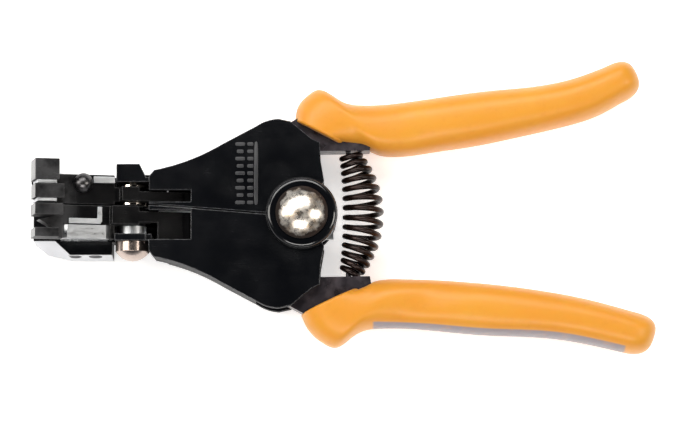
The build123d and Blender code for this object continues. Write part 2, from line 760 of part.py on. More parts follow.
# Serrated pads of the gripping half
teeth = int(pad_l / tooth_pitch)
with BuildPart() as gripper_front_pad:
    with BuildSketch(jaw_plan_plane(jaw_low_h)):
        add(jaw_box(pad_front_x, pad_rear_x, flange_spans[0][0], flange_spans[1][1]))
    extrude(amount=pad_t)
    for y0, y1 in flange_spans:
        with BuildSketch(jaw_plan_plane(jaw_low_h)):
            add(jaw_box(pad_front_x, finger_root_x - 0.7, y0, y1))
        extrude(amount=finger_h - 0.3 - jaw_low_h)
    with BuildSketch(jaw_side_plane(flange_spans[1][1])):
        with Locations(
            *[(pad_front_x - jaw_pin_x + (n + 0.5) * tooth_pitch, jaw_low_h) for n in range(teeth)]
        ):
            Rectangle(tooth_depth, tooth_depth, rotation=45)
    extrude(amount=flange_spans[1][1] - flange_spans[0][0], mode=Mode.SUBTRACT)
write(gripper_front_pad.part, "gripper_front_pad")

with BuildPart() as gripper_rear_pad:
    with BuildSketch(Plane.XY.offset(tower_top_z - rear_pad_t)):
        add(rectangle(pad_front_x, pad_rear_x, *rear_pad_y))
    extrude(amount=rear_pad_t)
    with BuildSketch(side_plane(rear_pad_y[1])):
        with Locations(*[(pad_front_x + (n + 0.5) * tooth_pitch, tower_top_z) for n in range(teeth)]):
            Rectangle(tooth_depth, tooth_depth, rotation=45)
    extrude(amount=rear_pad_y[1] - rear_pad_y[0], mode=Mode.SUBTRACT)
write(gripper_rear_pad.part, "gripper_rear_pad")

with BuildPart() as gripper_pad_screw:
    with BuildSketch(jaw_side_plane(knob_y)):
        with BuildLine():
            Polyline(
                (knob_x - jaw_pin_x, arm_h + knob_h),
                (knob_x - jaw_pin_x, jaw_low_h + pad_t),
                (knob_x - jaw_pin_x + blade_screw_r, jaw_low_h + pad_t),
                (knob_x - jaw_pin_x + blade_screw_r, arm_h),
                (knob_x - jaw_pin_x + knob_r, arm_h),
                (knob_x - jaw_pin_x + knob_r, arm_h + knob_rim),
            )
            mid_r, mid_h = dome_mid(knob_r, knob_h - knob_rim)
            ThreePointArc(
                (knob_x - jaw_pin_x + knob_r, arm_h + knob_rim),
                (knob_x - jaw_pin_x + mid_r, arm_h + knob_rim + mid_h),
                (knob_x - jaw_pin_x, arm_h + knob_h),
            )
        make_face()
    knob_plane = jaw_plan_plane(0)
    knob_axis = Axis(knob_plane.from_local_coords((knob_x - jaw_pin_x, knob_y, 0)), knob_plane.z_dir)
    revolve(axis=knob_axis)
write(gripper_pad_screw.part, "gripper_pad_screw")

with BuildPart() as gripper_clamp_bar:
    with BuildSketch(jaw_plan_plane(arm_h)):
        add(jaw_box(knob_x + knob_r + lap_gap, arm_end_x, knob_y, arm_y - 0.5))
    extrude(amount=1.0)
write(gripper_clamp_bar.part, "gripper_clamp_bar")

# Knives of the cutting half. Only the strips over the thin rear knife stand proud of their jaws.
edge_h = jaw_low_h - knife_proud
shoulder_h = arm_h - 0.6
with BuildPart() as front_blade:
    with BuildSketch(jaw_side_plane(front_blade_y[1])):
        add(
            polygon(
                (blade_front_x - jaw_pin_x, edge_h),
                (blade_front_x - jaw_pin_x, shoulder_h),
                (blade_front_x + 1.2 - jaw_pin_x, arm_h + 0.4),
                (blade_rear_x - 1.2 - jaw_pin_x, arm_h + 0.4),
                (blade_rear_x - jaw_pin_x, shoulder_h),
                (blade_rear_x - jaw_pin_x, edge_h),
            )
        )
        with Locations((-jaw_pin_x, 0)):
            add(knife_notches(edge_h), mode=Mode.SUBTRACT)
    extrude(amount=front_blade_w)
    with BuildSketch(jaw_plan_plane(edge_h)):
        add(jaw_box(blade_front_x, blade_rear_x, blade_outer_y + blade_t, front_blade_y[1]))
    extrude(amount=knife_proud, mode=Mode.SUBTRACT)
    with BuildSketch(jaw_side_plane(front_blade_y[1])):
        with Locations(*[(x - jaw_pin_x, blade_screw_h) for x in blade_screw_xs]):
            Circle(blade_screw_r)
    extrude(amount=blade_screw_r * 2, mode=Mode.SUBTRACT)
write(front_blade.part, "front_blade")

knife_z = jaw_pin_z + edge_h - knife_gap
with BuildPart() as rear_blade:
    with BuildSketch(side_plane(blade_outer_y + blade_t)):
        add(rectangle(blade_front_x, blade_rear_x, blade_floor_z, knife_z))
        add(knife_notches(knife_z), mode=Mode.SUBTRACT)
        with Locations(*[(x, blade_screw_z) for x in blade_screw_xs]):
            Circle(blade_screw_r, mode=Mode.SUBTRACT)
    extrude(amount=blade_t)
write(rear_blade.part, "rear_blade")

with BuildPart() as rear_blade_screws:
    for x in blade_screw_xs:
        with BuildSketch(side_plane(blade_outer_y + blade_t)):
            with Locations((x, blade_screw_z)):
                Circle(blade_screw_r)
        extrude(amount=blade_t + screw_sink)
        with BuildSketch(side_plane(blade_outer_y - screw_sink)):
            with Locations((x, blade_screw_z)):
                Circle(blade_screw_head_r)
        extrude(amount=blade_screw_head_t)
write(rear_blade_screws.part, "rear_blade_screws")

with BuildPart() as front_blade_screws:
    for x in blade_screw_xs:
        with BuildSketch(jaw_side_plane(front_blade_y[1] + blade_screw_l)):
            with Locations((x - jaw_pin_x, blade_screw_h)):
                Circle(blade_screw_r)
        extrude(amount=blade_screw_l + blade_screw_r * 2)
write(front_blade_screws.part, "front_blade_screws")

with BuildPart() as blade_keeper:
    with BuildSketch(jaw_plan_plane(arm_h)):
        add(jaw_box(blade_rear_x - 3.6, blade_rear_x - 2.3, -2.4, 1.9))
        add(jaw_box(blade_rear_x - 11.6, blade_rear_x - 2.6, front_blade_y[1] + 0.3, -1.4))
    extrude(amount=keeper_t)
write(blade_keeper.part, "blade_keeper")

# Springs that open the front jaws, standing in their pockets
for side in (1, -1):
    reach = jaw_pin_x - jaw_spring_x
    spring_top = jaw_pin_z + reach * sin(opened) + jaw_low_h * cos(opened) - 0.6
    with BuildPart() as jaw_spring:
        with BuildSketch(Plane.XY.offset(jaw_spring_floor_z)):
            with Locations((jaw_spring_x, jaw_spring_y[side])):
                Circle(jaw_spring_r)
                Circle(jaw_spring_r - jaw_spring_wire, mode=Mode.SUBTRACT)
        extrude(amount=spring_top - jaw_spring_floor_z)
    write(jaw_spring.part, f"{jaw_names[side]}_jaw_spring")


# ---------------------------------------------------------------- cam slide
slide_z = back_plate_top + side_gap
# The follower's path on the slide, from open to closed jaws, gives the ramp its angle.
follower_open = (
    jaw_pin_x + cam_contact * cos(opened) + follower_h * sin(opened),
    jaw_pin_z - cam_contact * sin(opened) + follower_h * cos(opened),
)
follower_shut = (jaw_pin_x + cam_contact, jaw_pin_z + follower_h)
ramp_dx = follower_shut[0] - follower_open[0] + cam_travel
ramp_dz = follower_shut[1] - follower_open[1]
ramp_length = hypot(ramp_dx, ramp_dz)
ramp_slope = ramp_dz / ramp_dx
touch_x = follower_open[0] + (follower_r + cam_gap) * ramp_dz / ramp_length
touch_z = follower_open[1] - (follower_r + cam_gap) * ramp_dx / ramp_length

with BuildPart() as cam_slide:
    with BuildSketch(Plane.XY.offset(slide_z)):
        add(rectangle(slide_front_x, slide_rear_x, -slide_half_w, slide_half_w))
        slot_half = stud_r + running_gap
        add(rectangle(0, cam_travel, -slot_half, slot_half), mode=Mode.SUBTRACT)
        with Locations((0, 0), (cam_travel, 0)):
            Circle(slot_half, mode=Mode.SUBTRACT)
        with Locations((cam_pin_x, 0)):
            Circle(cam_pin_r, mode=Mode.SUBTRACT)
    extrude(amount=slide_t)
    with BuildSketch(side_plane(slide_half_w)):
        add(
            polygon(
                (touch_x - (touch_z - wedge_bottom_z) / ramp_slope, wedge_bottom_z),
                (touch_x + (wedge_top_z - touch_z) / ramp_slope, wedge_top_z),
                (wedge_rear_x, wedge_top_z),
                (wedge_rear_x, slide_z),
                (slide_front_x, slide_z),
                (slide_front_x, wedge_bottom_z),
            )
        )
    extrude(amount=2 * slide_half_w)
write(cam_slide.part, "cam_slide")

with BuildPart() as cam_pin:
    with BuildSketch(Plane.XY.offset(slide_z)):
        with Locations((cam_pin_x, 0)):
            Circle(cam_pin_r)
    extrude(amount=front_plate_z - cam_pin_head - slide_z)
write(cam_pin.part, "cam_pin")


# ---------------------------------------------------------------- handles
slide_top_z = slide_z + slide_t
fork_low_z = slide_top_z + side_gap
fork_t = (lever_top_z - fork_low_z - fork_lap) / 2
fork_z = {1: lever_top_z - fork_t, -1: fork_low_z}
# The slot of a fork follows the cam pin from rest to full squeeze, and the fork points at its middle.
pin_rest, pin_half, pin_full = [cam_pin_in_lever(share) for share in (0, 0.5, 1)]
slot_half_w = cam_pin_r + fork_clearance
fork_reach = hypot(*pin_full) + fork_tip

handle_names = {1: "upper", -1: "lower"}
for side in (1, -1):
    name = handle_names[side]
    fork_plane = Plane(
        origin=(handle_pin_x, side * handle_pin_y, fork_z[side]),
        x_dir=(pin_half[0], side * pin_half[1], 0),
        z_dir=(0, 0, 1),
    )
    slot_plane = Plane(
        origin=(handle_pin_x + pin_rest[0], side * (handle_pin_y + pin_rest[1]), fork_z[side]),
        x_dir=(pin_full[0] - pin_rest[0], side * (pin_full[1] - pin_rest[1]), 0),
        z_dir=(0, 0, 1),
    )
    with BuildPart() as lever:
        with BuildSketch(Plane.XY.offset(lever_z0)):
            add(lever_outline(side))
            with Locations((handle_pin_x, side * handle_pin_y)):
                Circle(hub_r)
        extrude(amount=lever_t)
        with BuildSketch(fork_plane):
            add(rectangle(0, fork_reach, -fork_w / 2, fork_w / 2))
        extrude(amount=fork_t)
        with BuildSketch(slot_plane):
            add(rectangle(-slot_half_w, fork_reach, -slot_half_w, slot_half_w))
        extrude(amount=fork_t, mode=Mode.SUBTRACT)
        with BuildSketch(Plane.XY.offset(lever_z0)):
            with Locations((handle_pin_x, side * handle_pin_y)):
                Circle(handle_pin_r + running_gap)
        extrude(amount=lever_t, mode=Mode.SUBTRACT)
    write(lever.part, f"{name}_lever")

    with BuildPart() as grip:
        with BuildSketch():
            add(grip_outline(side))
        extrude(amount=lever_top_z + grip_wall)
        with BuildSketch(Plane.XY.offset(lever_z0)):
            add(lever_outline(side))
        extrude(amount=lever_t, mode=Mode.SUBTRACT)
    write(grip.part, f"{name}_grip")

    peg_at = handle_point(side, seat_l, shelf_h)
    peg_from = peg_at[1] - lap_gap if side == 1 else peg_at[1] + lap_gap + peg_h
    with BuildPart() as peg:
        with BuildSketch(side_plane(peg_from)):
            with Locations((peg_at[0], lever_z0 + lever_t / 2)):
                Circle(peg_r)
        extrude(amount=peg_h)
    write(peg.part, f"{name}_spring_peg")

# The return spring: a bowed barrel of coils between the two shelves, hollow for the pegs
seat_x = handle_pin_x + seat_l
spring_y0 = handle_point(-1, seat_l, shelf_h)[1] + lap_gap
spring_l = handle_point(1, seat_l, shelf_h)[1] - lap_gap - spring_y0
stations = 7
with BuildPart() as return_spring:
    for wall, mode in ((0, Mode.ADD), (spring_wire / 2, Mode.SUBTRACT)):
        for n in range(stations):
            share = n / (stations - 1)
            swell = 4 * share * (1 - share)
            centre = (seat_x + swell * spring_bow, spring_y0 + share * spring_l, lever_z0 + lever_t / 2)
            with BuildSketch(Plane(origin=centre, x_dir=(1, 0, 0), z_dir=(0, 1, 0))):
                Circle(spring_end_r - wall + swell * (spring_mid_r - spring_end_r))
        loft(mode=mode)
write(return_spring.part, "return_spring")
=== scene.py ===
import json
import math

import bmesh
import bpy
import numpy as np
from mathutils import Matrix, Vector


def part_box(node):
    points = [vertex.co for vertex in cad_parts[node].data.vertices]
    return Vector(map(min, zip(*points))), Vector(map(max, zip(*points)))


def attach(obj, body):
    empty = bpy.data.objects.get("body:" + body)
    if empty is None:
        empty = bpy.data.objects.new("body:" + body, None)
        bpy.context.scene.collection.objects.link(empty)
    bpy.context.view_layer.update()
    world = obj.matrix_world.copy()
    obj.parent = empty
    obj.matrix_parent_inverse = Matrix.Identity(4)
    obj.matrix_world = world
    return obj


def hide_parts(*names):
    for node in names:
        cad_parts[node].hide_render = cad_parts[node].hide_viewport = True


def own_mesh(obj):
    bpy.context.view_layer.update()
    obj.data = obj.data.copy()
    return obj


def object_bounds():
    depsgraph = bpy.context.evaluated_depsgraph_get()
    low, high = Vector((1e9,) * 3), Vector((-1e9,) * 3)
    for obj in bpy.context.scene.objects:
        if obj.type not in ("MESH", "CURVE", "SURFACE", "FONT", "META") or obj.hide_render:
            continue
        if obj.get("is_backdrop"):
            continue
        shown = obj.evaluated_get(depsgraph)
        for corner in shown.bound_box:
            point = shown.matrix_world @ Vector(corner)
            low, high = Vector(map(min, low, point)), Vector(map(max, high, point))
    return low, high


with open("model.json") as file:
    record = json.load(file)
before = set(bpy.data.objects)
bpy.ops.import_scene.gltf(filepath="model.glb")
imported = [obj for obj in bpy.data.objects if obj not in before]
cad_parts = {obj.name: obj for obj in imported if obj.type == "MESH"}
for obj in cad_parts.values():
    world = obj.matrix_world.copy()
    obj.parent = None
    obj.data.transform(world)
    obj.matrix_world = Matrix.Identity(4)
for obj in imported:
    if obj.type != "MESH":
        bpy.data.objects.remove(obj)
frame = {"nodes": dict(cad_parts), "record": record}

MM = 0.001
cad_low, cad_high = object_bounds()

# Sizes and places read from the frame, in metres
GRIP_LOW, GRIP_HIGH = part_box("upper_grip")
PIN_LOW, PIN_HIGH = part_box("upper_handle_pin")
HANDLE_PIN = (PIN_LOW + PIN_HIGH) / 2
DOME_LOW, DOME_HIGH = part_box("pivot_stud")
DOME_MIDDLE = (DOME_LOW + DOME_HIGH) / 2
SPRING_LOW, SPRING_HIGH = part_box("return_spring")
FACE_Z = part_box("gripper_frame")[1].z

# The front jaws' fingers are rubbed in front of this place
FINGER_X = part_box("gripper_front_jaw")[0].x + 12.0 * MM

# A painted reflection lightens the cutting half's flank in front of this place and below this height
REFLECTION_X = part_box("blade_jaw_pin")[0].x - 1.2 * MM
REFLECTION_TOP = 9.0 * MM

# The strip of painted shade along the outer side wall of each grip: its two ends, and its top, which is one
# step higher on the lower grip and one step lower on the upper grip
STRIP_FRONT = 19.9 * MM
STRIP_REAR = 90.0 * MM
STRIP_TOP = GRIP_LOW.z + 0.84 * (GRIP_HIGH.z - GRIP_LOW.z)
STRIP_STEP = 3.5 * MM
STRIP_FADE = 0.3 * MM


# ---------------------------------------------------------------- surfaces
def in_scene(name, data):
    """An object in the scene that shows a mesh, a camera or a light."""
    thing = bpy.data.objects.new(name, data)
    bpy.context.scene.collection.objects.link(thing)
    return thing


def rows_to_mesh(name, grid):
    """Closed mesh of a grid of points, rows by columns. Each row is a closed ring. Neighbouring rows are
    joined by quads: corner indices are row * columns + column, with the column taken modulo the ring. A fan
    to the ring's middle closes each end."""
    rows, cols = grid.shape[:2]
    column = np.arange(cols)
    following = (column + 1) % cols
    here = np.arange(rows - 1)[:, None] * cols
    ahead = here + cols
    quads = np.stack([here + column, here + following, ahead + following, ahead + column], -1)
    first_middle, last_middle = rows * cols, rows * cols + 1
    last_row = (rows - 1) * cols
    first_fan = np.stack([np.full(cols, first_middle), following, column], -1)
    last_fan = np.stack([np.full(cols, last_middle), last_row + column, last_row + following], -1)
    points = np.concatenate([grid.reshape(-1, 3), [grid[0].mean(0), grid[-1].mean(0)]])
    faces = quads.reshape(-1, 4).tolist() + first_fan.tolist() + last_fan.tolist()
    mesh = bpy.data.meshes.new(name)
    mesh.from_pydata(points.tolist(), [], faces)
    mesh.validate()
    shell = bmesh.new()
    shell.from_mesh(mesh)
    bmesh.ops.remove_doubles(shell, verts=shell.verts, dist=1e-7)
    bmesh.ops.recalc_face_normals(shell, faces=shell.faces)
    shell.to_mesh(mesh)
    shell.free()
    mesh.shade_smooth()
    return mesh


def chord_shares(knots):
    """How far along the polyline each knot stands, from 0 to 1."""
    chord = np.r_[0, np.cumsum(np.linalg.norm(np.diff(np.asarray(knots, float), axis=0), axis=1))]
    return chord / chord[-1]


def smooth_through(knots, t, chord=None):
    """Points at t (0 to 1) on the natural cubic spline through the knots, which stand at the given shares,
    or by chord length. The second derivatives solve the usual tridiagonal system, for all coordinates."""
    knots = np.asarray(knots, float)
    chord = chord_shares(knots) if chord is None else chord
    n = len(knots)
    step = np.diff(chord)
    system = np.eye(n)
    inner = np.arange(1, n - 1)
    system[inner, inner - 1] = step[:-1]
    system[inner, inner] = 2 * (step[:-1] + step[1:])
    system[inner, inner + 1] = step[1:]
    slope = np.diff(knots, axis=0) / step[:, None]
    right = np.zeros_like(knots)
    right[1:-1] = 6 * np.diff(slope, axis=0)
    bend = np.linalg.solve(system, right)
    i = np.clip(np.searchsorted(chord, t, side="right") - 1, 0, n - 2)
    h = step[i][:, None]
    a = (chord[i + 1] - t)[:, None] / h
    b = 1 - a
    return (
        a * knots[i] + b * knots[i + 1] + ((a**3 - a) * bend[i] + (b**3 - b) * bend[i + 1]) * h**2 / 6
    )


def signed_power(x, power):
    """|x| to the power, with the sign of x: it squares up the circle of a section."""
    return np.sign(x) * np.abs(x) ** power


def coil(name, axis_points, radii, wire, turns, tight_end, steps, ring):
    """Mesh of a coil spring of round wire. Its angle grows evenly with s (0 to 1), and its centre runs along
    the spline through axis_points by s - tight_end * sin(2 pi s) / 2 pi, slowly near both ends, so that the
    end turns lie close together. Its radius follows radii along the spline. Across the wire, the section is
    a circle in the plane of the coil's radial and axial directions. Steps is the number of sections to a
    turn, and ring the number of points to a section."""
    s = np.linspace(0, 1, int(turns * steps))
    along = s - tight_end * np.sin(2 * np.pi * s) / (2 * np.pi)
    centre = smooth_through(axis_points, along)
    ahead = np.gradient(centre, axis=0)
    ahead /= np.linalg.norm(ahead, axis=1, keepdims=True)
    # a coil that stands upright takes its first direction from Y, any other from Z
    upright = abs(ahead[0, 2]) > 0.9
    side = np.cross(ahead, (0, 1.0, 0) if upright else (0, 0, 1.0))
    side /= np.linalg.norm(side, axis=1, keepdims=True)
    up = np.cross(side, ahead)
    radius = np.interp(along, np.linspace(0, 1, len(radii)), radii)[:, None]
    angle = (2 * np.pi * turns * s)[:, None]
    out = side * np.cos(angle) + up * np.sin(angle)
    path = centre + out * radius
    v = np.linspace(0, 2 * np.pi, ring, endpoint=False)[None, :, None]
    section = wire / 2 * (np.cos(v) * out[:, None] + np.sin(v) * ahead[:, None])
    return rows_to_mesh(name, path[:, None] + section)


# ---------------------------------------------------------------- steps of the materials
def new_finish(name, colour, roughness, metallic=0.0, **constants):
    """A material with its shader's constants set on the shader's own sockets."""
    material = bpy.data.materials.new(name)
    material.use_nodes = True
    tree = material.node_tree
    shader = tree.nodes["Principled BSDF"]
    shader.inputs["Base Color"].default_value = (*colour, 1)
    shader.inputs["Roughness"].default_value = roughness
    shader.inputs["Metallic"].default_value = metallic
    for socket, value in constants.items():
        shader.inputs[socket.replace("_", " ")].default_value = value
    return material, tree, shader


def place(tree, scale=(1, 1, 1)):
    """Object coordinates, stretched."""
    where = tree.nodes.new("ShaderNodeTexCoord")
    mapping = tree.nodes.new("ShaderNodeMapping")
    mapping.inputs["Scale"].default_value = scale
    tree.links.new(where.outputs["Object"], mapping.inputs["Vector"])
    return mapping.outputs["Vector"]


def facing(tree):
    """The direction in which the surface faces, in the object's own axes."""
    return tree.nodes.new("ShaderNodeTexCoord").outputs["Normal"]


def axes_of(tree, vector):
    """The X, Y and Z of a vector, as three sockets."""
    node = tree.nodes.new("ShaderNodeSeparateXYZ")
    tree.links.new(vector, node.inputs["Vector"])
    return node.outputs["X"], node.outputs["Y"], node.outputs["Z"]


def noise(tree, where, scale, detail=4.0, rough=0.55):
    """Fractal noise, with scale in waves per metre of the coordinates."""
    node = tree.nodes.new("ShaderNodeTexNoise")
    node.inputs["Scale"].default_value = scale
    node.inputs["Detail"].default_value = detail
    node.inputs["Roughness"].default_value = rough
    tree.links.new(where, node.inputs["Vector"])
    return node.outputs["Fac"]


def spread(tree, value, low, high, to_low=0.0, to_high=1.0):
    """Map Range, clamped: low becomes to_low and high becomes to_high, and low may be the larger."""
    node = tree.nodes.new("ShaderNodeMapRange")
    for socket, number in zip(("From Min", "From Max", "To Min", "To Max"), (low, high, to_low, to_high)):
        node.inputs[socket].default_value = number
    tree.links.new(value, node.inputs["Value"])
    return node.outputs["Result"]


def above(tree, value, limit, fade):
    """1 where the value is over the limit and 0 where it is under, with a ramp of fade to each side."""
    return spread(tree, value, limit - fade, limit + fade)


def below(tree, value, limit, fade):
    """1 where the value is under the limit and 0 where it is over, with a ramp of fade to each side."""
    return spread(tree, value, limit + fade, limit - fade)


def combine(tree, how, *values):
    """Math node on one or two values, each a socket or a number. Any further values are taken in one by
    one, each by a node of its own."""
    node = tree.nodes.new("ShaderNodeMath")
    node.operation = how
    for socket, value in zip(node.inputs, values[:2]):
        if isinstance(value, (int, float)):
            socket.default_value = value
        else:
            tree.links.new(value, socket)
    more = values[2:]
    return combine(tree, how, node.outputs[0], *more) if more else node.outputs[0]


def blend_colours(tree, share, a, b):
    """Mix of two colours, each a tuple or a socket."""
    node = tree.nodes.new("ShaderNodeMix")
    node.data_type = "RGBA"
    tree.links.new(share, node.inputs["Factor"])
    for socket, value in zip((node.inputs["A"], node.inputs["B"]), (a, b)):
        if isinstance(value, tuple):
            socket.default_value = (*value, 1)
        else:
            tree.links.new(value, socket)
    return node.outputs["Result"]


def darker(colour, share):
    """A colour times a share, which is one number or one for each channel."""
    return tuple(np.multiply(colour, share).tolist())


def bump(tree, shader, height, distance, strength=1.0, normal=None):
    """Bump on the shader's normal."""
    node = tree.nodes.new("ShaderNodeBump")
    node.inputs["Distance"].default_value = distance
    node.inputs["Strength"].default_value = strength
    tree.links.new(height, node.inputs["Height"])
    if normal is not None:
        tree.links.new(normal, node.inputs["Normal"])
    tree.links.new(node.outputs["Normal"], shader.inputs["Normal"])


def rounded_normal(tree, radius):
    """The surface's normal as if its edges were rounded by the radius."""
    bevel = tree.nodes.new("ShaderNodeBevel")
    bevel.samples = 6
    bevel.inputs["Radius"].default_value = radius
    return bevel.outputs["Normal"]


def edge_mask(tree, rounded, where):
    """1 on edges and 0 on flats, broken up by noise: how far the rounded normal leans off the true one."""
    dot = tree.nodes.new("ShaderNodeVectorMath")
    dot.operation = "DOT_PRODUCT"
    tree.links.new(rounded, dot.inputs[0])
    tree.links.new(tree.nodes.new("ShaderNodeNewGeometry").outputs["Normal"], dot.inputs[1])
    lean = spread(tree, dot.outputs["Value"], 0.985, 0.80)
    patches = spread(tree, noise(tree, where, 900, 3), 0.32, 0.62)
    return combine(tree, "MULTIPLY", lean, patches)


# ---------------------------------------------------------------- materials
def enamel(name, colour, gloss, bare_and_highlight, wear, edge=0.35 * MM, rubbed=None, flank_reflection=None, coat=0.06):
    """Stoved black enamel on steel: fine orange peel, faint cloudiness, dust-fine scratches in the gloss,
    upright walls left matt, and edges lightened towards the bare colour, partly rubbed down to the bare
    metal and partly a painted highlight along them. In front of rubbed's place, where the fingers handle the
    wire, the colour turns in patches to rubbed's colour. In front of the flank's given place and below its
    height, the outer flank that faces -Y takes the bare colour as a painted reflection."""
    material, tree, shader = new_finish(
        name, colour, gloss, Coat_Weight=coat, Coat_Roughness=0.08, Specular_IOR_Level=0.35
    )
    where = place(tree)
    x, _, z = axes_of(tree, where)
    _, facing_y, facing_z = axes_of(tree, facing(tree))
    rounded = rounded_normal(tree, edge)
    # edges lightened by the wear share: partly real edge wear, partly a painted highlight along the edges
    wear_and_highlight = combine(tree, "MULTIPLY", edge_mask(tree, rounded, where), wear)
    upright = below(tree, combine(tree, "ABSOLUTE", facing_z), 0.11, 0.05)
    cloud = spread(tree, noise(tree, where, 60, 5), 0.3, 0.7)
    tint = blend_colours(tree, cloud, colour, tuple(c * 1.5 + 0.0008 for c in colour))
    if rubbed is not None:
        limit, greyer = rubbed
        tip = below(tree, x, limit, 2 * MM)
        patches = spread(tree, noise(tree, where, 190, 3), 0.30, 0.62)
        tint = blend_colours(tree, combine(tree, "MULTIPLY", tip, patches), tint, greyer)
    if flank_reflection is not None:
        front, top = flank_reflection
        # painted reflection: the flank that faces -Y takes the bare colour, turns half metallic and stays
        # glossy
        flank = below(tree, facing_y, -0.225, 0.075)
        in_front = below(tree, x, front, 0.2 * MM)
        painted_reflection = combine(tree, "MULTIPLY", flank, in_front, below(tree, z, top, 0.2 * MM))
        tint = blend_colours(tree, painted_reflection, tint, bare_and_highlight)
        wear_and_highlight = combine(tree, "MAXIMUM", wear_and_highlight, combine(tree, "MULTIPLY", painted_reflection, 0.5))
        upright = combine(tree, "MULTIPLY", upright, combine(tree, "SUBTRACT", 1.0, painted_reflection))
    tree.links.new(blend_colours(tree, wear_and_highlight, tint, bare_and_highlight), shader.inputs["Base Color"])
    tree.links.new(wear_and_highlight, shader.inputs["Metallic"])
    # scratches run along the tool
    scratches = spread(tree, noise(tree, place(tree, (30, 900, 300)), 4, 2, 0.7), 0.60, 0.72, 0, 0.05)
    smudge = spread(tree, noise(tree, where, 110, 4), 0.35, 0.75, gloss * 0.8, gloss * 1.5)
    worn_rough = combine(tree, "MULTIPLY", wear_and_highlight, 0.40)
    upright_rough = combine(tree, "MULTIPLY", upright, 0.50)
    rough = combine(tree, "ADD", smudge, scratches, worn_rough, upright_rough)
    tree.links.new(rough, shader.inputs["Roughness"])
    bump(tree, shader, noise(tree, where, 700, 2), 0.02 * MM, 0.5, rounded)
    return material


def bright_steel(name, colour, gloss, grain, depth=0.012 * MM):
    """Machined steel: fine tool marks, patchy sheen and softened edges. Grain gives how closely the marks
    lie along each axis, so one low number draws them out into brushing that way; depth is their depth."""
    material, tree, shader = new_finish(name, colour, gloss, 1.0)
    where = place(tree)
    lines = noise(tree, place(tree, grain), 12, 4, 0.6)
    patch = spread(tree, noise(tree, where, 180, 4), 0.3, 0.7)
    tree.links.new(blend_colours(tree, patch, darker(colour, 0.72), colour), shader.inputs["Base Color"])
    tree.links.new(spread(tree, lines, 0.3, 0.7, gloss * 0.7, gloss * 1.5), shader.inputs["Roughness"])
    bump(tree, shader, lines, depth, 0.6, rounded_normal(tree, 0.2 * MM))
    return material


def polished(name, colour, gloss):
    """Polished steel: almost a mirror, with faint wipe marks."""
    material, tree, shader = new_finish(name, colour, gloss, 1.0)
    where = place(tree)
    marks = spread(tree, noise(tree, where, 260, 5, 0.6), 0.35, 0.75, gloss * 0.6, gloss * 2.2)
    tree.links.new(marks, shader.inputs["Roughness"])
    tint = spread(tree, noise(tree, where, 90, 3), 0.35, 0.65)
    warm = darker(colour, (1.0, 0.93, 0.85))
    tree.links.new(blend_colours(tree, tint, colour, warm), shader.inputs["Base Color"])
    bump(tree, shader, noise(tree, where, 1500, 2), 0.003 * MM, 0.4)
    return material


def crown_with_painted_rim(name, colour, gloss, painted_rim_colour, centre, crown):
    """Bright steel painted with the dome's reflections: a cream middle clouded with brown patches, painted
    reflection, and a near-black rim, painted dark reflection. The distance from the stud's axis at centre,
    ragged by noise, parts the bright middle from the painted dark rim at the radius crown."""
    material, tree, shader = new_finish(name, colour, gloss, 1.0)
    where = place(tree)
    x, y, _ = axes_of(tree, where)
    east = combine(tree, "SUBTRACT", x, centre.x)
    north = combine(tree, "SUBTRACT", y, centre.y)
    east_squared = combine(tree, "MULTIPLY", east, east)
    north_squared = combine(tree, "MULTIPLY", north, north)
    away = combine(tree, "SQRT", combine(tree, "ADD", east_squared, north_squared))
    ragged = spread(tree, noise(tree, where, 420, 4, 0.6), 0.3, 0.7, -0.12 * crown, 0.12 * crown)
    painted_dark_rim = above(tree, combine(tree, "ADD", away, ragged), crown * 0.99, crown * 0.09)
    cloud = spread(tree, noise(tree, where, 330, 3, 0.5), 0.48, 0.66)
    bright = blend_colours(tree, cloud, colour, darker(colour, (0.74, 0.64, 0.54)))
    tree.links.new(blend_colours(tree, painted_dark_rim, bright, painted_rim_colour), shader.inputs["Base Color"])
    marks = spread(tree, noise(tree, where, 700, 4), 0.3, 0.7, gloss * 0.7, gloss * 1.4)
    rough = combine(tree, "ADD", marks, combine(tree, "MULTIPLY", painted_dark_rim, 0.08))
    tree.links.new(rough, shader.inputs["Roughness"])
    bump(tree, shader, noise(tree, where, 500, 2), 0.04 * MM, 0.35)
    return material


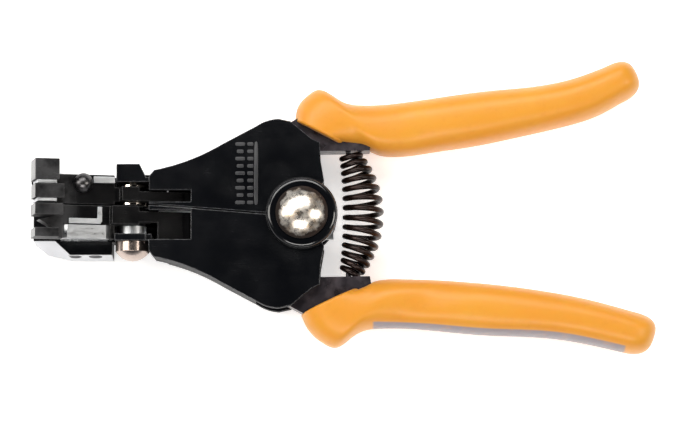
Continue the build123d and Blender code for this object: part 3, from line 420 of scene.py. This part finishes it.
def vinyl(name, colour, shade, side_shade):
    """Soft moulded vinyl: slight mottling, grime, pebbled micro texture, a soft sheen and light under the
    skin. The outer side wall of a grip, the one that faces away from the other handle, carries a strip of
    painted shade in the last colour given, from behind the horn nearly to the heel."""
    material, tree, shader = new_finish(
        name, colour, 0.42, Subsurface_Weight=0.12, Subsurface_Scale=4 * MM, Coat_Weight=0.08,
        Coat_Roughness=0.35, Sheen_Weight=0.12, Sheen_Roughness=0.4,
    )
    where = place(tree)
    x, y, z = axes_of(tree, where)
    _, facing_y, _ = axes_of(tree, facing(tree))
    mottle = spread(tree, noise(tree, where, 45, 5), 0.3, 0.7)
    body = blend_colours(tree, mottle, colour, shade)
    # side is 1 on the upper grip and -1 on the lower one
    side = combine(tree, "SIGN", y)
    # painted shade: the outward side wall, under the strip's top and between its ends, takes the last colour
    # given
    outward = above(tree, combine(tree, "MULTIPLY", side, facing_y), 0.81, 0.03)
    height = combine(tree, "ADD", z, combine(tree, "MULTIPLY", side, STRIP_STEP))
    under_top = below(tree, height, STRIP_TOP, STRIP_FADE)
    behind_front = above(tree, x, STRIP_FRONT, STRIP_FADE)
    before_rear = below(tree, x, STRIP_REAR, STRIP_FADE)
    shade_strip = combine(tree, "MULTIPLY", outward, under_top, behind_front, before_rear)
    body = blend_colours(tree, shade_strip, body, side_shade)
    grime = spread(tree, noise(tree, where, 320, 6, 0.65), 0.52, 0.78, 0, 0.35)
    tree.links.new(blend_colours(tree, grime, body, darker(shade, 0.86)), shader.inputs["Base Color"])
    tree.links.new(spread(tree, noise(tree, where, 500, 4), 0.3, 0.7, 0.36, 0.5), shader.inputs["Roughness"])
    pebbles = tree.nodes.new("ShaderNodeTexVoronoi")
    pebbles.inputs["Scale"].default_value = 2600
    tree.links.new(where, pebbles.inputs["Vector"])
    skin = combine(tree, "ADD", pebbles.outputs["Distance"], noise(tree, where, 1400, 3))
    bump(tree, shader, skin, 0.03 * MM, 0.35)
    return material


def blackened(name, colour, gloss, rust):
    """Oil-blackened steel wire or forging: metallic, brown where the oxide is thin."""
    material, tree, shader = new_finish(name, colour, gloss, 0.75, Coat_Weight=0.2, Coat_Roughness=0.25)
    where = place(tree)
    thin = spread(tree, noise(tree, where, 240, 5, 0.6), 0.45, 0.7)
    tree.links.new(blend_colours(tree, thin, colour, rust), shader.inputs["Base Color"])
    rough = spread(tree, noise(tree, where, 400, 4), 0.3, 0.7, gloss * 0.7, gloss * 1.4)
    tree.links.new(rough, shader.inputs["Roughness"])
    bump(tree, shader, noise(tree, where, 900, 4), 0.02 * MM, 0.5, rounded_normal(tree, 0.3 * MM))
    return material


BLACK = (0.0022, 0.0026, 0.0036)
# bare metal of rubbed edges, also used as a painted highlight along them
BARE_AND_HIGHLIGHT = (0.42, 0.44, 0.47)
FINISHES = {
    "black_enamel": enamel("black_enamel", BLACK, 0.19, BARE_AND_HIGHLIGHT, 0.60),
    "boss_enamel": enamel("boss_enamel", BLACK, 0.14, BARE_AND_HIGHLIGHT, 0.60, coat=1.0),
    # the frame's light bare colour paints its edge highlights and the flank's painted reflection
    "frame_enamel": enamel(
        "frame_enamel", BLACK, 0.19, (0.62, 0.63, 0.66), 0.60, flank_reflection=(REFLECTION_X, REFLECTION_TOP)
    ),
    "jaw_enamel": enamel(
        "jaw_enamel", (0.0016, 0.0016, 0.0020), 0.20, (0.36, 0.36, 0.37), 0.22, edge=0.4 * MM,
        rubbed=(FINGER_X, (0.050, 0.050, 0.052)),
    ),
    "tick_enamel": enamel(
        "tick_enamel", (0.040, 0.041, 0.044), 0.34, (0.22, 0.22, 0.23), 0.40, edge=0.2 * MM
    ),
    "tool_steel": bright_steel("tool_steel", (0.66, 0.68, 0.70), 0.36, (8, 120, 120), 0.003 * MM),
    "screw_steel": bright_steel("screw_steel", (0.45, 0.45, 0.46), 0.34, (60, 60, 60)),
    "dark_screw": bright_steel("dark_screw", (0.115, 0.112, 0.115), 0.26, (60, 60, 60), 0.004 * MM),
    # pin_steel is tinted pink: a painted pink reflection on the pin's head
    "pin_steel": bright_steel("pin_steel", (0.52, 0.43, 0.385), 0.20, (60, 8, 60), 0.004 * MM),
    "polished_steel": polished("polished_steel", (0.80, 0.74, 0.67), 0.07),
    "spring_steel": blackened("spring_steel", (0.016, 0.0085, 0.007), 0.34, (0.034, 0.015, 0.011)),
    "lever_steel": blackened("lever_steel", (0.040, 0.034, 0.041), 0.34, (0.085, 0.070, 0.078)),
    # stud_steel: cream and brown crown and near-black rim, painted reflection on the dome
    "stud_steel": crown_with_painted_rim(
        "stud_steel", (0.98, 0.91, 0.82), 0.27, (0.055, 0.042, 0.036), DOME_MIDDLE,
        0.42 * (DOME_HIGH.x - DOME_LOW.x),
    ),
    "orange_grip": vinyl("orange_grip", (0.80, 0.352, 0.028), (0.78, 0.305, 0.020), (0.27, 0.225, 0.245)),
}


def wear(piece, finish):
    """Give a piece its finish."""
    piece.data.materials.clear()
    piece.data.materials.append(FINISHES[finish])


def fit(piece, body, finish, *nodes):
    """Give a new piece its finish and its body, and hide the CAD nodes that it stands for."""
    wear(piece, finish)
    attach(piece, body)
    if nodes:
        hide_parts(*nodes)


# CAD nodes take the finish of their own slot, except for a few
SLOTS = {entry["node"]: entry["material_slot"] for entry in frame["record"]["subparts"]}
NODE_FINISHES = SLOTS | {
    "pivot_stud": "stud_steel",
    "pivot_boss": "boss_enamel",
    "blade_jaw_pin": "pin_steel",
    "gripper_pad_screw": "dark_screw",
    "blade_frame": "frame_enamel",
}
for node, finish in NODE_FINISHES.items():
    wear(frame["nodes"][node], finish)


# ---------------------------------------------------------------- castings, jaws and levers
SHARP_EDGE = math.radians(30)
FLAT_ANGLE = math.radians(0.5)
MERGE_DISTANCE = 0.002 * MM
EDGE_WIDTHS = {
    "gripper_frame": 0.45, "blade_frame": 0.45, "gripper_front_jaw": 0.3, "blade_front_jaw": 0.3,
    "upper_lever": 0.45, "lower_lever": 0.45, "gripper_back_plate": 0.3, "blade_back_plate": 0.3,
    "front_blade": 0.3, "blade_keeper": 0.15, "gripper_clamp_bar": 0.25, "cam_slide": 0.15,
}


def softened(node, width):
    """The CAD piece with its sharp edges rounded: its triangles are merged, flat faces are joined, and a
    bevel of the given width in mm follows every edge that turns by more than 30 degrees. Normals are
    weighted by the area of the faces, so that large flats stay flat up to their bevels."""
    body = next(b for b, nodes in frame["record"]["behaviour"]["bodies"].items() if node in nodes)
    mesh = frame["nodes"][node].data.copy()
    shell = bmesh.new()
    shell.from_mesh(mesh)
    bmesh.ops.remove_doubles(shell, verts=shell.verts, dist=MERGE_DISTANCE)
    bmesh.ops.dissolve_limit(
        shell, angle_limit=FLAT_ANGLE, use_dissolve_boundaries=False, verts=shell.verts, edges=shell.edges
    )
    bmesh.ops.recalc_face_normals(shell, faces=shell.faces)
    shell.to_mesh(mesh)
    shell.free()
    mesh.shade_smooth()
    piece = in_scene(f"{node}_softened", mesh)
    bevel = piece.modifiers.new("edges", "BEVEL")
    bevel.width = width * MM
    bevel.segments = 2
    bevel.limit_method = "ANGLE"
    bevel.angle_limit = SHARP_EDGE
    flats = piece.modifiers.new("flats", "WEIGHTED_NORMAL")
    flats.mode = "FACE_AREA"
    flats.weight = 100
    fit(piece, body, SLOTS[node], node)
    wear(piece, NODE_FINISHES[node])


for node, width in EDGE_WIDTHS.items():
    softened(node, width)


# ---------------------------------------------------------------- raised ticks on the body
BAR_SQUARENESS = 0.4


def raised_bars(name, bars, base_z, height):
    """Low bars with rounded ends, all in one mesh. Each bar is given by its middle and its half lengths. It
    is a ring of points round its outline, the half lengths times cos and sin of v to the power
    BAR_SQUARENESS, carried up through four levels, where the top two draw in by the same distance on every
    side."""
    v = np.linspace(0, 2 * np.pi, 24, endpoint=False)
    ring = np.stack([signed_power(np.cos(v), BAR_SQUARENESS), signed_power(np.sin(v), BAR_SQUARENESS)], -1)
    level_z = base_z + height * np.array([0.0, 0.7, 0.93, 1.0])
    drawn_in = np.array([0.0, 0.0, 0.021, 0.070]) * MM
    shell = bmesh.new()
    for x, y, half_x, half_y in bars:
        halves = np.array([half_x, half_y]) - drawn_in[:, None]
        plan = halves[:, None] * ring + (x, y)
        z = np.broadcast_to(level_z[:, None, None], plan.shape[:2] + (1,))
        bar = rows_to_mesh(f"{name}_bar", np.concatenate([plan, z], -1))
        shell.from_mesh(bar)
        bpy.data.meshes.remove(bar)
    mesh = bpy.data.meshes.new(name)
    shell.to_mesh(mesh)
    shell.free()
    return in_scene(name, mesh)


# In mm: a column of long and short ticks in turn, a column of equal ones, and a bar along them
TICK_HALF_Y = 0.50
LONG_TICK, SHORT_TICK, EQUAL_TICK = 1.35, 0.95, 0.85
tick_y = 19.4 - 2.05 * np.arange(9)
bars = [(-17.2, y, SHORT_TICK if row % 2 else LONG_TICK, TICK_HALF_Y) for row, y in enumerate(tick_y)]
bars += [(-14.35, y, EQUAL_TICK, TICK_HALF_Y) for y in tick_y]
bars += [(-12.75, tick_y.mean(), 0.55, 8.9)]
ticks = raised_bars("size_ticks", np.array(bars) * MM, FACE_Z, 0.12 * MM)
fit(ticks, "gripper_half", "jaw_enamel")
wear(ticks, "tick_enamel")


# ---------------------------------------------------------------- grips
GRIP_MID_Z = (GRIP_LOW.z + GRIP_HIGH.z) / 2
GRIP_HALF_Z = (GRIP_HIGH.z - GRIP_LOW.z) / 2
LEAN = math.radians(0.9)
SQUARENESS = 2 / 2.55

# Edges of each grip in plan, in mm from the handle pin and before the lean. The outer edge runs from the
# mouth over the horn to the heel, the inner edge from the mouth to the same place at the rear.
GRIP_EDGES = {
    1: (
        ((7.2, 10.2), (8.0, 13.8), (10.5, 16.7), (13.7, 18.5), (17.1, 17.2), (20.6, 14.9), (25.2, 13.9),
         (36.0, 14.3), (49.5, 16.0), (63.0, 17.5), (76.0, 18.6), (86.6, 20.8), (94.5, 23.6)),
        ((21.0, 2.9), (22.8, 2.5), (24.7, 2.1), (26.8, 1.6), (29.0, 0.6), (31.6, -0.3), (35.9, -0.6),
         (46.0, 0.5), (57.0, 2.0), (69.6, 4.4), (83.0, 7.3), (92.5, 10.2), (99.0, 13.6)),
    ),
    -1: (
        ((8.8, 11.6), (9.8, 14.0), (11.9, 16.8), (14.7, 19.0), (18.0, 20.3), (21.8, 18.1), (25.6, 15.8),
         (30.5, 15.1), (38.0, 15.2), (50.0, 16.4), (63.0, 17.6), (80.0, 18.8), (97.0, 22.4)),
        ((25.5, 4.0), (26.6, 3.4), (27.8, 2.7), (29.2, 1.9), (31.2, 1.5), (34.0, 1.3), (38.0, 1.4),
         (45.0, 1.7), (54.0, 2.4), (65.0, 3.6), (78.0, 5.6), (90.0, 8.2), (101.0, 11.4)),
    ),
}
HEEL_LENGTHS = {1: 7.4 * MM, -1: 8.4 * MM}
MOUTH_LENGTH = 0.8 * MM


def leaned(points, side):
    """Points in mm from the handle pin, turned by the lean and mirrored for the lower handle, in metres."""
    turn = side * LEAN
    d = np.asarray(points) * MM
    x = HANDLE_PIN.x + d[:, 0] * math.cos(turn) - d[:, 1] * math.sin(turn)
    y = HANDLE_PIN.y + d[:, 0] * math.sin(turn) + d[:, 1] * math.cos(turn)
    return np.stack([x, side * y], -1)


def grip(name, side):
    """Mesh of a moulded grip. u runs from mouth to heel and v round the section. The section's middle is
    halfway between the outer and the inner edge curve, its half width is half their distance, and its half
    depth is a little under the grip's, less a shallow bell-shaped dip where the palm rests; both follow a
    superellipse, cos and sin of v to the power SQUARENESS. At both ends the section shrinks as a quarter of
    a superellipse, which rounds the rim, and moves on by the end's length."""
    u = np.linspace(0, 1, 160)
    edges = GRIP_EDGES[side]
    shares = (chord_shares(edges[0]) + chord_shares(edges[1])) / 2
    outer, inner = [leaned(smooth_through(edge, u, shares), side) for edge in edges]
    middle, half = (outer + inner) / 2, (outer - inner) / 2
    palm_dip = 0.10 * np.exp(-(((u - 0.32) / 0.10) ** 2))
    depth = GRIP_HALF_Z * (0.985 - palm_dip)

    def rounded_end(row, before, length, flat, power):
        """Rows past the end row, away from the row before it: q goes from 0 to 1, and the section keeps
        flat + (1 - flat)(1 - q^p)^(1/p) of its size, where p is the power."""
        ahead = middle[row] - middle[before]
        ahead /= np.linalg.norm(ahead)
        q = np.sin(np.linspace(0, np.pi / 2, 17)[1:])
        keep = flat + (1 - flat) * (1 - q**power) ** (1 / power)
        return middle[row] + ahead * (length * q)[:, None], half[row] * keep[:, None], depth[row] * keep

    heel = rounded_end(-1, -4, HEEL_LENGTHS[side], flat=0.0, power=3.0)
    mouth = rounded_end(0, 2, MOUTH_LENGTH, flat=0.9, power=2.0)
    middle, half, depth = [
        np.concatenate([front[::-1], body, rear])
        for front, body, rear in zip(mouth, (middle, half, depth), heel)
    ]
    v = np.linspace(0, 2 * np.pi, 80, endpoint=False)
    across = signed_power(np.cos(v), SQUARENESS)
    tall = signed_power(np.sin(v), SQUARENESS)
    plan = middle[:, None] + half[:, None] * across[None, :, None]
    height = GRIP_MID_Z + depth[:, None] * tall[None, :]
    return rows_to_mesh(name, np.concatenate([plan, height[..., None]], -1))


for side, word in ((1, "upper"), (-1, "lower")):
    name = f"{word}_grip_moulding"
    fit(in_scene(name, grip(name, side)), f"{word}_handle", "orange_grip", f"{word}_grip")


# ---------------------------------------------------------------- springs
def barrel_spring(name):
    """Mesh of the return spring: its axis bows to the rear as a parabola between the pegs, and its radius
    swells with the same parabola, so that its front edge stays nearly straight and its coils fan out
    behind."""
    wire = 1.62 * MM
    end_radius = 3.3 * MM
    bow = 3.7 * MM
    # the pegs travel to the rear inside the end coils, so the coils start half of that way behind them
    peg_play = 0.45 * MM
    s = np.linspace(0, 1, 9)
    swell = 4 * s * (1 - s)
    end_path = end_radius - wire / 2
    middle_path = (SPRING_HIGH.z - SPRING_LOW.z) / 2 - wire / 2
    x = SPRING_LOW.x + end_radius + peg_play + swell * bow
    y = SPRING_HIGH.y - wire / 2 - s * (SPRING_HIGH.y - SPRING_LOW.y - wire)
    z = np.full_like(s, (SPRING_LOW.z + SPRING_HIGH.z) / 2)
    radii = end_path + swell * (middle_path - end_path)
    return coil(name, np.stack([x, y, z], -1), radii, wire, turns=13.5, tight_end=0.22, steps=30, ring=12)


def jaw_spring(name, low, high):
    """Mesh of a small straight spring that fills the box from low to high, with its axis along Z."""
    wire = 0.5 * MM
    x, y, z = (low + high) / 2
    ends = np.array([[x, y, low.z + wire / 2], [x, y, z], [x, y, high.z - wire / 2]])
    radius = (high.x - low.x - wire) / 2
    return coil(name, ends, (radius, radius), wire, turns=6, tight_end=0.3, steps=20, ring=8)


spring = in_scene("return_spring_coils", barrel_spring("return_spring_coils"))
fit(spring, "pivot", "spring_steel", "return_spring")
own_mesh(spring)

for half in ("gripper", "blade"):
    low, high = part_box(f"{half}_jaw_spring")
    name = f"{half}_jaw_spring_coils"
    small = in_scene(name, jaw_spring(name, low, high))
    fit(small, f"{half}_half", "spring_steel", f"{half}_jaw_spring")
    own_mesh(small)


# ---------------------------------------------------------------- camera, floor and lights
def look_at(thing, target):
    """Turn a camera or a light to face a point."""
    thing.rotation_euler = (Vector(target) - thing.location).to_track_quat("-Z", "Y").to_euler()


# The camera stands in front of the tool and looks steeply down on it; the width is what it sees at the
# middle of the tool
VIEW_CENTRE = Vector((0.01344, 0.0, 0.013))
VIEW_DISTANCE = 0.95
VIEW_WIDTH = 0.196
ELEVATION = math.radians(84)
SENSOR_WIDTH = 36
LIT_POINT = (0.01, 0, 0)

camera_data = bpy.data.cameras.new("camera")
camera_data.sensor_width = SENSOR_WIDTH
camera_data.lens = SENSOR_WIDTH * VIEW_DISTANCE / VIEW_WIDTH
camera = in_scene("camera", camera_data)
camera.location = VIEW_CENTRE + VIEW_DISTANCE * Vector((0, -math.cos(ELEVATION), math.sin(ELEVATION)))
look_at(camera, VIEW_CENTRE)
bpy.context.scene.camera = camera

# The floor lies just under the tool, so that the two don't share a plane
FLOOR_HALF = 3.0
FLOOR_Z = cad_low.z - 0.3 * MM
corners = [(x * FLOOR_HALF, y * FLOOR_HALF, FLOOR_Z) for x, y in ((-1, -1), (1, -1), (1, 1), (-1, 1))]
floor_mesh = bpy.data.meshes.new("floor")
floor_mesh.from_pydata(corners, [], [(0, 1, 2, 3)])
paper, *_ = new_finish(
    "paper", (0.93, 0.93, 0.93), 0.9, Emission_Color=(1, 1, 1, 1), Emission_Strength=0.55
)
floor_mesh.materials.append(paper)
floor = in_scene("floor", floor_mesh)
floor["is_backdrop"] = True


def softbox(name, where, size, power, colour):
    """A rectangular area light that faces the tool, with its power in watts."""
    data = bpy.data.lights.new(name, "AREA")
    data.shape = "RECTANGLE"
    data.size, data.size_y = size
    data.energy = power
    data.color = colour
    light = in_scene(name, data)
    light.location = where
    look_at(light, LIT_POINT)


softbox("back_box", where=(-0.10, 0.42, 0.62), size=(0.80, 0.36), power=4.2, colour=(1.0, 0.985, 0.96))
softbox("front_box", where=(-0.05, -0.50, 0.68), size=(0.55, 0.26), power=2.6, colour=(1.0, 0.97, 0.94))
softbox("left_box", where=(-0.62, 0.08, 0.62), size=(0.30, 0.60), power=2.6, colour=(1.0, 0.97, 0.92))
softbox("right_box", where=(0.60, -0.05, 0.66), size=(0.26, 0.40), power=2.1, colour=(1.0, 0.95, 0.88))

# Studio walls: bright low down, dark overhead, as pairs of a direction's height and its brightness
WALL_LEVELS = ((0.0, 0.70), (0.16, 0.45), (0.40, 0.06), (0.90, 0.004))
world = bpy.data.worlds.new("studio")
world.use_nodes = True
walls = world.node_tree
direction = walls.nodes.new("ShaderNodeTexCoord")
_, _, upward = axes_of(walls, direction.outputs["Generated"])
ramp = walls.nodes.new("ShaderNodeValToRGB")
ramp.color_ramp.interpolation = "EASE"
stops = ramp.color_ramp.elements
for number, (height, level) in enumerate(WALL_LEVELS):
    # a new ramp has two stops already
    stop = stops[number] if number < 2 else stops.new(height)
    stop.position = height
    stop.color = (level * 0.97, level * 0.98, level, 1)
walls.links.new(upward, ramp.inputs["Fac"])
walls.links.new(ramp.outputs["Color"], walls.nodes["Background"].inputs["Color"])
walls.nodes["Background"].inputs["Strength"].default_value = 1.0
bpy.context.scene.world = world
bpy.context.scene.view_settings.view_transform = "Standard"

low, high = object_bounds()
